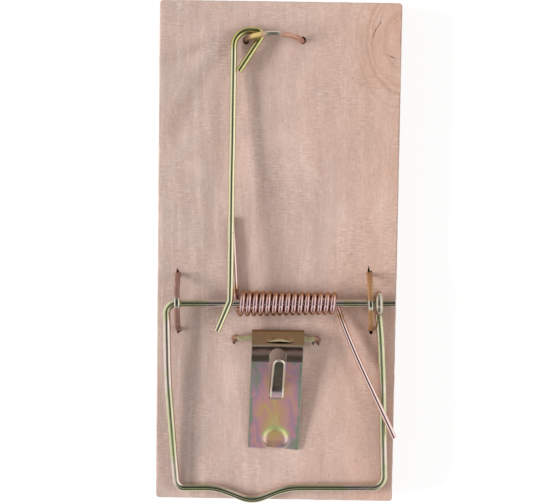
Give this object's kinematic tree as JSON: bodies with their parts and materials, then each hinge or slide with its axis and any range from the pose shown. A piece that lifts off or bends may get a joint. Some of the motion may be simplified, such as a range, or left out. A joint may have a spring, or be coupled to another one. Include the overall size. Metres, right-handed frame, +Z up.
{
  "type": "snap mouse trap",
  "caption": "Wooden snap mouse trap at rest: a bent-wire hammer with its torsion spring, a locking bar, a sheet metal bait pedal and the staples that hold them.",
  "frame": {"origin": "centre of the board's underside", "axes": "+X across the board, towards the axle's free end; +Y along the board, from the hammer's end to the locking bar's staple; +Z up, out of the board's top face"},
  "size_m": [0.0473, 0.0985, 0.0124],
  "materials": {
    "wood": "raw planed softwood with fine grain along the length",
    "staple_wire": "yellow passivated zinc plating, drawn wire",
    "hammer_wire": "olive passivated zinc plating, drawn wire",
    "spring_wire": "coppery passivated zinc plating, drawn wire",
    "locking_bar_wire": "yellow passivated zinc plating, drawn wire",
    "pedal_sheet": "iridescent yellow passivated zinc plating on folded sheet"
  },
  "bodies": {
    "base": {"base_board": "wood", "left_axle_staple": "staple_wire", "right_axle_staple": "staple_wire", "locking_bar_staple": "staple_wire", "pedal_staple": "staple_wire", "torsion_spring": "spring_wire"},
    "hammer": {"hammer": "hammer_wire"},
    "locking_bar": {"locking_bar": "locking_bar_wire"},
    "bait_pedal": {"bait_pedal": "pedal_sheet"}
  },
  "joints": [
    {"name": "hammer_swing", "type": "hinge", "parent": "base", "child": "hammer", "pos_m": [0, -0.0094, 0.00895], "axis": [-0.9999, -0.0157, 0], "range_deg": [0, 178], "stiffness_Nm_per_rad": 0.06, "springref_deg": -91.67, "deforming": ["torsion_spring"]},
    {"name": "locking_bar_swing", "type": "hinge", "parent": "base", "child": "locking_bar", "pos_m": [-0.00601, 0.04201, 0.00608], "axis": [-0.078, 0.136, -0.9876], "range_deg": [0, 150]},
    {"name": "pedal_tilt", "type": "hinge", "parent": "base", "child": "bait_pedal", "pos_m": [0, -0.01635, 0.0075], "axis": [-1, 0, 0], "range_deg": [0, 60]}
  ]
}
